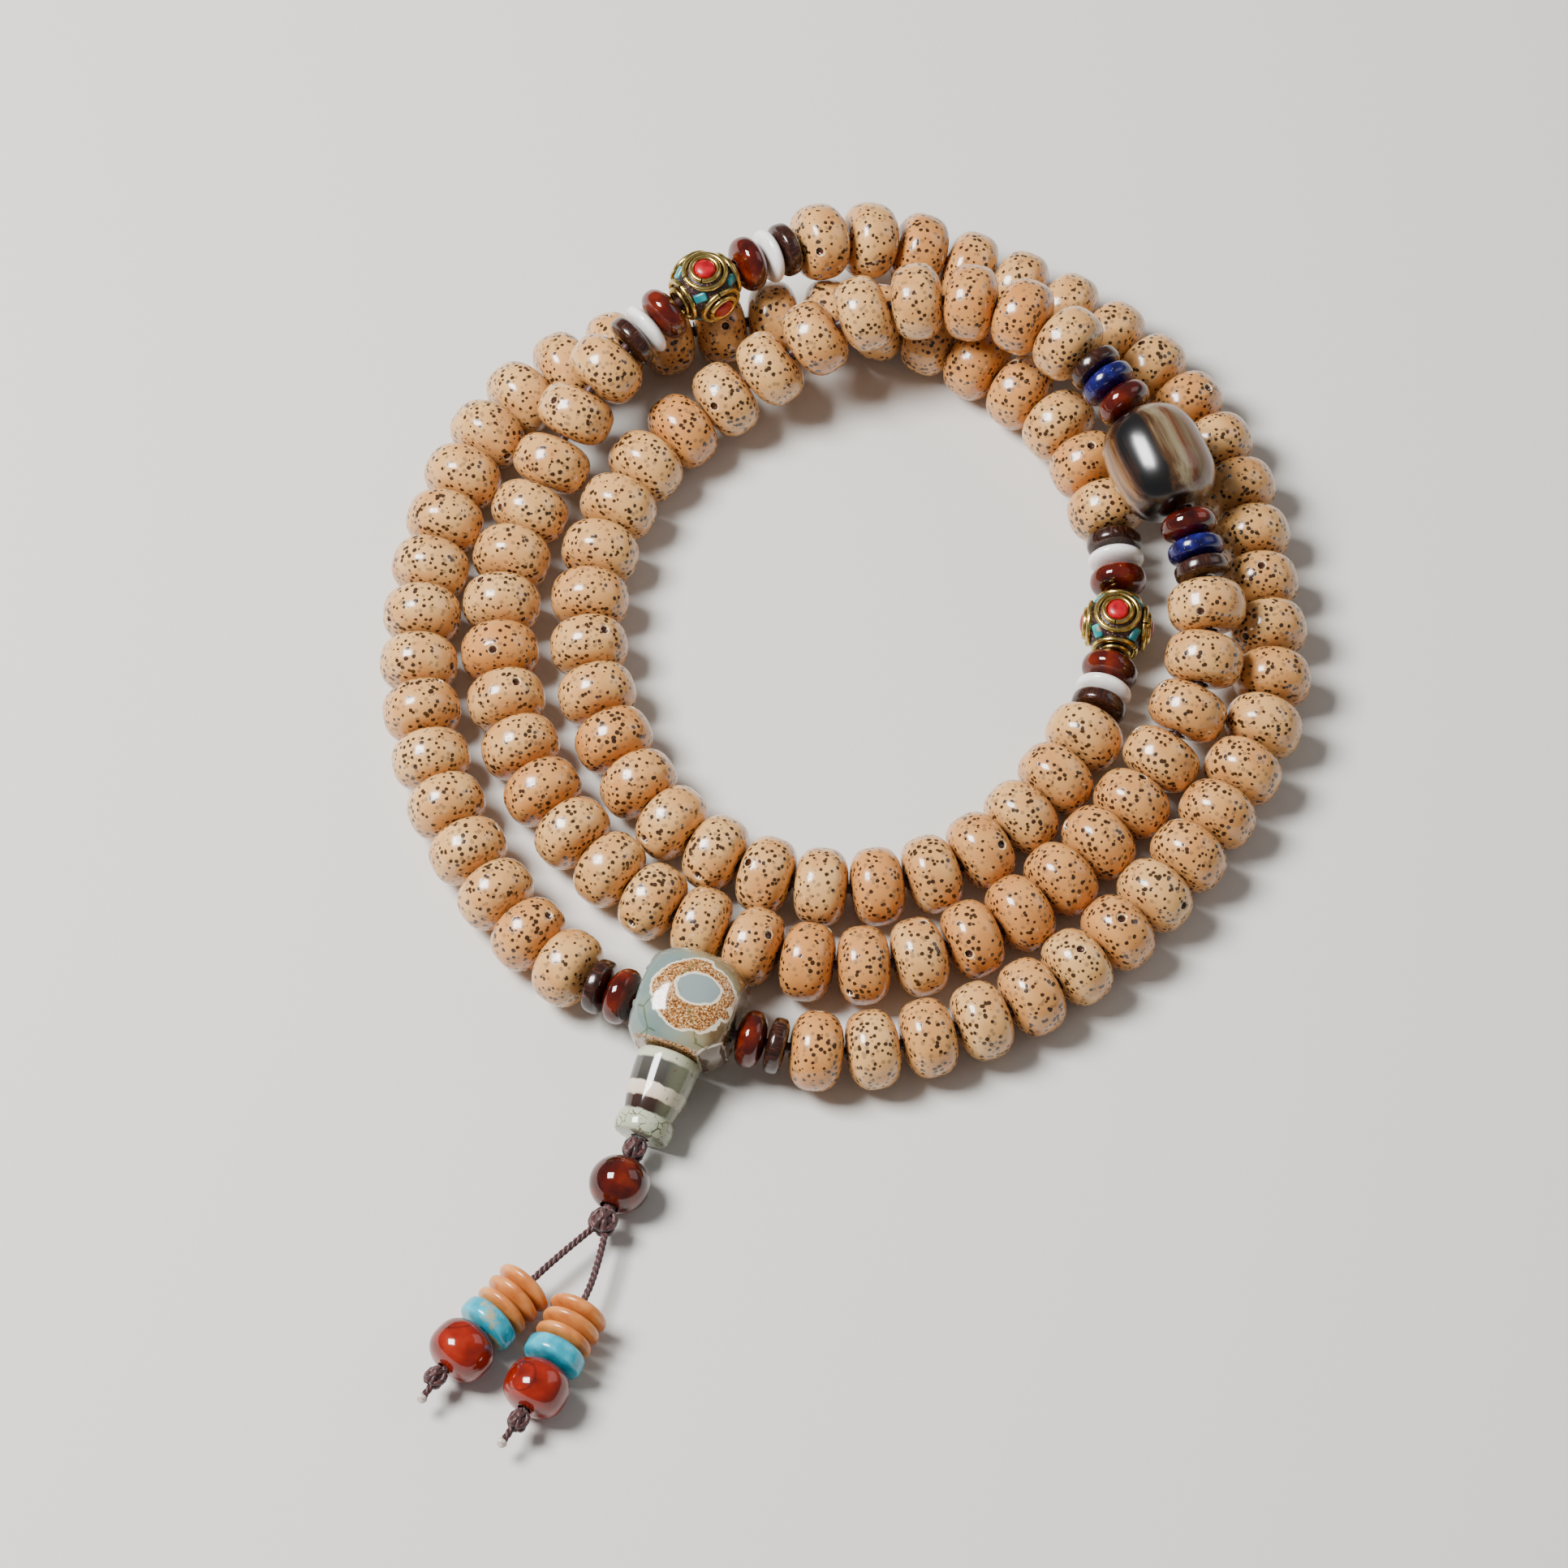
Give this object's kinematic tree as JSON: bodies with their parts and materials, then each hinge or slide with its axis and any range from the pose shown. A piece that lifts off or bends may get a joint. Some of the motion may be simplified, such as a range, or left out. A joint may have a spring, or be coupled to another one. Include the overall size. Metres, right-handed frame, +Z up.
{
  "type": "mala prayer beads",
  "caption": "Closed string of round seed beads wound into a coil, with inlaid brass, horn and agate marker beads and a pendant that parts into short drops.",
  "frame": {"origin": "on the table under the middle of the laid beads, at the centre of the bottom of the box round every piece but the two drop cords", "axes": "+Z up from the table, +Y away from the pendant along the longest side, +X to the right of the pendant"},
  "size_m": [0.1186, 0.174, 0.0211],
  "materials": {
    "rattan_seed": "gloss",
    "maroon_cord": "satin",
    "agate_guru": "gloss",
    "agate_stupa": "gloss",
    "carnelian": "gloss",
    "coconut_shell": "gloss",
    "white_shell": "gloss",
    "lapis": "gloss",
    "horn": "satin",
    "resin_core": "satin",
    "brass_wire": "gloss",
    "coral": "satin",
    "turquoise_chip": "satin",
    "turquoise_disc": "gloss",
    "orange_wax_stone": "satin",
    "red_agate": "gloss",
    "melted_tip": "satin"
  },
  "bodies": {
    "string_and_seeds": {"seeds_1": "rattan_seed", "seeds_2": "rattan_seed", "seeds_3": "rattan_seed", "seeds_4": "rattan_seed", "string": "maroon_cord", "closing_knot": "maroon_cord", "stem_cord": "maroon_cord", "guru_bead": "agate_guru"},
    "carnelian_before_guru": {"carnelian_before_guru": "carnelian"},
    "coconut_before_guru": {"coconut_before_guru": "coconut_shell"},
    "carnelian_after_guru": {"carnelian_after_guru": "carnelian"},
    "coconut_after_guru": {"coconut_after_guru": "coconut_shell"},
    "carnelian_before_first_ball": {"carnelian_before_first_ball": "carnelian"},
    "white_before_first_ball": {"white_before_first_ball": "white_shell"},
    "coconut_before_first_ball": {"coconut_before_first_ball": "coconut_shell"},
    "carnelian_after_first_ball": {"carnelian_after_first_ball": "carnelian"},
    "white_after_first_ball": {"white_after_first_ball": "white_shell"},
    "coconut_after_first_ball": {"coconut_after_first_ball": "coconut_shell"},
    "first_ball": {"first_ball_core": "resin_core", "first_ball_rings": "brass_wire", "first_ball_corals": "coral", "first_ball_chips": "turquoise_chip"},
    "carnelian_before_horn": {"carnelian_before_horn": "carnelian"},
    "lapis_before_horn": {"lapis_before_horn": "lapis"},
    "coconut_before_horn": {"coconut_before_horn": "coconut_shell"},
    "carnelian_after_horn": {"carnelian_after_horn": "carnelian"},
    "lapis_after_horn": {"lapis_after_horn": "lapis"},
    "coconut_after_horn": {"coconut_after_horn": "coconut_shell"},
    "horn_barrel": {"horn_barrel": "horn"},
    "carnelian_before_second_ball": {"carnelian_before_second_ball": "carnelian"},
    "white_before_second_ball": {"white_before_second_ball": "white_shell"},
    "coconut_before_second_ball": {"coconut_before_second_ball": "coconut_shell"},
    "carnelian_after_second_ball": {"carnelian_after_second_ball": "carnelian"},
    "white_after_second_ball": {"white_after_second_ball": "white_shell"},
    "coconut_after_second_ball": {"coconut_after_second_ball": "coconut_shell"},
    "second_ball": {"second_ball_core": "resin_core", "second_ball_rings": "brass_wire", "second_ball_corals": "coral", "second_ball_chips": "turquoise_chip"},
    "stupa_bead": {"stupa_bead": "agate_stupa"},
    "neck_knot": {"neck_knot": "maroon_cord"},
    "pendant": {"pendant_cord": "maroon_cord", "split_knot": "maroon_cord"},
    "carnelian_ball": {"carnelian_ball": "carnelian"},
    "drop_left": {"drop_cord_left": "maroon_cord", "end_knot_left": "maroon_cord", "cord_tip_left": "melted_tip"},
    "red_barrel_left": {"red_barrel_left": "red_agate"},
    "orange_disc_1_left": {"orange_disc_1_left": "orange_wax_stone"},
    "orange_disc_2_left": {"orange_disc_2_left": "orange_wax_stone"},
    "orange_disc_3_left": {"orange_disc_3_left": "orange_wax_stone"},
    "turquoise_disc_left": {"turquoise_disc_left": "turquoise_disc"},
    "drop_right": {"drop_cord_right": "maroon_cord", "end_knot_right": "maroon_cord", "cord_tip_right": "melted_tip"},
    "red_barrel_right": {"red_barrel_right": "red_agate"},
    "orange_disc_1_right": {"orange_disc_1_right": "orange_wax_stone"},
    "orange_disc_2_right": {"orange_disc_2_right": "orange_wax_stone"},
    "orange_disc_3_right": {"orange_disc_3_right": "orange_wax_stone"},
    "turquoise_disc_right": {"turquoise_disc_right": "turquoise_disc"}
  },
  "joints": [
    {"name": "turn_carnelian_before_guru", "type": "hinge", "parent": "string_and_seeds", "child": "carnelian_before_guru", "pos_m": [-0.01191, -0.03308, 0.00637], "axis": [-0.9701, 0.2171, 0.1088], "continuous": true},
    {"name": "turn_coconut_before_guru", "type": "hinge", "parent": "string_and_seeds", "child": "coconut_before_guru", "pos_m": [-0.00875, -0.03379, 0.00602], "axis": [-0.9701, 0.2171, 0.1088], "continuous": true},
    {"name": "turn_carnelian_after_guru", "type": "hinge", "parent": "string_and_seeds", "child": "carnelian_after_guru", "pos_m": [-0.02785, -0.02709, 0.0064], "axis": [-0.8732, 0.4758, -0.1056], "continuous": true},
    {"name": "turn_coconut_after_guru", "type": "hinge", "parent": "string_and_seeds", "child": "coconut_after_guru", "pos_m": [-0.03069, -0.02554, 0.00606], "axis": [-0.8732, 0.4758, -0.1056], "continuous": true},
    {"name": "turn_carnelian_before_first_ball", "type": "hinge", "parent": "string_and_seeds", "child": "carnelian_before_first_ball", "pos_m": [0.03501, 0.03368, 0.00474], "axis": [0.0734, -0.9972, -0.0117], "continuous": true},
    {"name": "turn_white_before_first_ball", "type": "hinge", "parent": "string_and_seeds", "child": "white_before_first_ball", "pos_m": [0.03478, 0.03678, 0.00478], "axis": [0.0734, -0.9972, -0.0117], "continuous": true},
    {"name": "turn_coconut_before_first_ball", "type": "hinge", "parent": "string_and_seeds", "child": "coconut_before_first_ball", "pos_m": [0.0346, 0.03922, 0.0048], "axis": [0.0734, -0.9972, -0.0117], "continuous": true},
    {"name": "turn_carnelian_after_first_ball", "type": "hinge", "parent": "string_and_seeds", "child": "carnelian_after_first_ball", "pos_m": [0.03367, 0.02053, 0.00477], "axis": [-0.2733, -0.9618, 0.0171], "continuous": true},
    {"name": "turn_white_after_first_ball", "type": "hinge", "parent": "string_and_seeds", "child": "white_after_first_ball", "pos_m": [0.03282, 0.01754, 0.00482], "axis": [-0.2733, -0.9618, 0.0171], "continuous": true},
    {"name": "turn_coconut_after_first_ball", "type": "hinge", "parent": "string_and_seeds", "child": "coconut_after_first_ball", "pos_m": [0.03215, 0.01519, 0.00486], "axis": [-0.2733, -0.9618, 0.0171], "continuous": true},
    {"name": "turn_first_ball", "type": "hinge", "parent": "string_and_seeds", "child": "first_ball", "pos_m": [0.0347, 0.02707, 0.00472], "axis": [-0.1015, -0.9948, 0.0017], "continuous": true},
    {"name": "turn_carnelian_before_horn", "type": "hinge", "parent": "string_and_seeds", "child": "carnelian_before_horn", "pos_m": [0.03579, 0.05395, 0.01539], "axis": [0.5782, -0.8142, -0.0529], "continuous": true},
    {"name": "turn_lapis_before_horn", "type": "hinge", "parent": "string_and_seeds", "child": "lapis_before_horn", "pos_m": [0.03379, 0.05676, 0.01558], "axis": [0.5782, -0.8142, -0.0529], "continuous": true},
    {"name": "turn_coconut_before_horn", "type": "hinge", "parent": "string_and_seeds", "child": "coconut_before_horn", "pos_m": [0.03217, 0.05904, 0.01572], "axis": [0.5782, -0.8142, -0.0529], "continuous": true},
    {"name": "turn_carnelian_after_horn", "type": "hinge", "parent": "string_and_seeds", "child": "carnelian_after_horn", "pos_m": [0.04375, 0.03679, 0.01342], "axis": [0.2469, -0.9567, -0.1541], "continuous": true},
    {"name": "turn_lapis_after_horn", "type": "hinge", "parent": "string_and_seeds", "child": "lapis_after_horn", "pos_m": [0.0446, 0.03349, 0.01289], "axis": [0.2469, -0.9567, -0.1541], "continuous": true},
    {"name": "turn_coconut_after_horn", "type": "hinge", "parent": "string_and_seeds", "child": "coconut_after_horn", "pos_m": [0.04529, 0.03081, 0.01246], "axis": [0.2469, -0.9567, -0.1541], "continuous": true},
    {"name": "turn_horn_barrel", "type": "hinge", "parent": "string_and_seeds", "child": "horn_barrel", "pos_m": [0.04012, 0.04552, 0.01451], "axis": [0.4182, -0.9025, -0.1033], "continuous": true},
    {"name": "turn_carnelian_before_second_ball", "type": "hinge", "parent": "string_and_seeds", "child": "carnelian_before_second_ball", "pos_m": [-0.02327, 0.06807, 0.01438], "axis": [0.7442, 0.6516, 0.147], "continuous": true},
    {"name": "turn_white_before_second_ball", "type": "hinge", "parent": "string_and_seeds", "child": "white_before_second_ball", "pos_m": [-0.02558, 0.06605, 0.01393], "axis": [0.7442, 0.6516, 0.147], "continuous": true},
    {"name": "turn_coconut_before_second_ball", "type": "hinge", "parent": "string_and_seeds", "child": "coconut_before_second_ball", "pos_m": [-0.0274, 0.06445, 0.01357], "axis": [0.7442, 0.6516, 0.147], "continuous": true},
    {"name": "turn_carnelian_after_second_ball", "type": "hinge", "parent": "string_and_seeds", "child": "carnelian_after_second_ball", "pos_m": [-0.01249, 0.07572, 0.01438], "axis": [0.8643, 0.4822, -0.1432], "continuous": true},
    {"name": "turn_white_after_second_ball", "type": "hinge", "parent": "string_and_seeds", "child": "white_after_second_ball", "pos_m": [-0.00981, 0.07722, 0.01394], "axis": [0.8643, 0.4822, -0.1432], "continuous": true},
    {"name": "turn_coconut_after_second_ball", "type": "hinge", "parent": "string_and_seeds", "child": "coconut_after_second_ball", "pos_m": [-0.00769, 0.0784, 0.01359], "axis": [0.8643, 0.4822, -0.1432], "continuous": true},
    {"name": "turn_second_ball", "type": "hinge", "parent": "string_and_seeds", "child": "second_ball", "pos_m": [-0.01801, 0.07208, 0.01469], "axis": [0.8148, 0.5798, -0.0007], "continuous": true},
    {"name": "turn_stupa_bead", "type": "hinge", "parent": "string_and_seeds", "child": "stupa_bead", "pos_m": [-0.02178, -0.03513, 0.0056], "axis": [-0.3455, -0.9182, -0.1938], "continuous": true},
    {"name": "neck_swing", "type": "hinge", "parent": "string_and_seeds", "child": "neck_knot", "pos_m": [-0.02558, -0.04523, 0.00347], "axis": [0, 0, 1], "range_deg": [-10, 10]},
    {"name": "pendant_lift", "type": "hinge", "parent": "neck_knot", "child": "pendant", "pos_m": [-0.02671, -0.04823, 0.00353], "axis": [-0.9359, 0.3521, 0], "range_deg": [0, 20]},
    {"name": "turn_carnelian_ball", "type": "hinge", "parent": "pendant", "child": "carnelian_ball", "pos_m": [-0.02804, -0.05178, 0.00384], "axis": [-0.3521, -0.9358, 0.0193], "continuous": true},
    {"name": "swing_drop_left", "type": "hinge", "parent": "pendant", "child": "drop_left", "pos_m": [-0.03073, -0.05723, 0.00371], "axis": [0, 0, 1], "range_deg": [-30, 0]},
    {"name": "slide_beads_left", "type": "slide", "parent": "drop_left", "child": "red_barrel_left", "axis": [0.6558, 0.7546, -0.0225], "range_m": [0, 0.004]},
    {"name": "turn_orange_disc_1_left", "type": "hinge", "parent": "red_barrel_left", "child": "orange_disc_1_left", "pos_m": [-0.03958, -0.06583, 0.00379], "axis": [-0.6558, -0.7546, 0.0225], "continuous": true},
    {"name": "turn_orange_disc_2_left", "type": "hinge", "parent": "red_barrel_left", "child": "orange_disc_2_left", "pos_m": [-0.04089, -0.06734, 0.00384], "axis": [-0.6558, -0.7546, 0.0225], "continuous": true},
    {"name": "turn_orange_disc_3_left", "type": "hinge", "parent": "red_barrel_left", "child": "orange_disc_3_left", "pos_m": [-0.0422, -0.06885, 0.00388], "axis": [-0.6558, -0.7546, 0.0225], "continuous": true},
    {"name": "turn_turquoise_disc_left", "type": "hinge", "parent": "red_barrel_left", "child": "turquoise_disc_left", "pos_m": [-0.04381, -0.0707, 0.00394], "axis": [-0.6558, -0.7546, 0.0225], "continuous": true},
    {"name": "swing_drop_right", "type": "hinge", "parent": "pendant", "child": "drop_right", "pos_m": [-0.02963, -0.05773, 0.00371], "axis": [0, 0, 1], "range_deg": [0, 30]},
    {"name": "slide_beads_right", "type": "slide", "parent": "drop_right", "child": "red_barrel_right", "axis": [0.4364, 0.8995, -0.0223], "range_m": [0, 0.0035]},
    {"name": "turn_orange_disc_1_right", "type": "hinge", "parent": "red_barrel_right", "child": "orange_disc_1_right", "pos_m": [-0.03288, -0.06923, 0.00379], "axis": [-0.4364, -0.8995, 0.0223], "continuous": true},
    {"name": "turn_orange_disc_2_right", "type": "hinge", "parent": "red_barrel_right", "child": "orange_disc_2_right", "pos_m": [-0.03375, -0.07103, 0.00384], "axis": [-0.4364, -0.8995, 0.0223], "continuous": true},
    {"name": "turn_orange_disc_3_right", "type": "hinge", "parent": "red_barrel_right", "child": "orange_disc_3_right", "pos_m": [-0.03463, -0.07283, 0.00388], "axis": [-0.4364, -0.8995, 0.0223], "continuous": true},
    {"name": "turn_turquoise_disc_right", "type": "hinge", "parent": "red_barrel_right", "child": "turquoise_disc_right", "pos_m": [-0.03569, -0.07503, 0.00394], "axis": [-0.4364, -0.8995, 0.0223], "continuous": true}
  ]
}
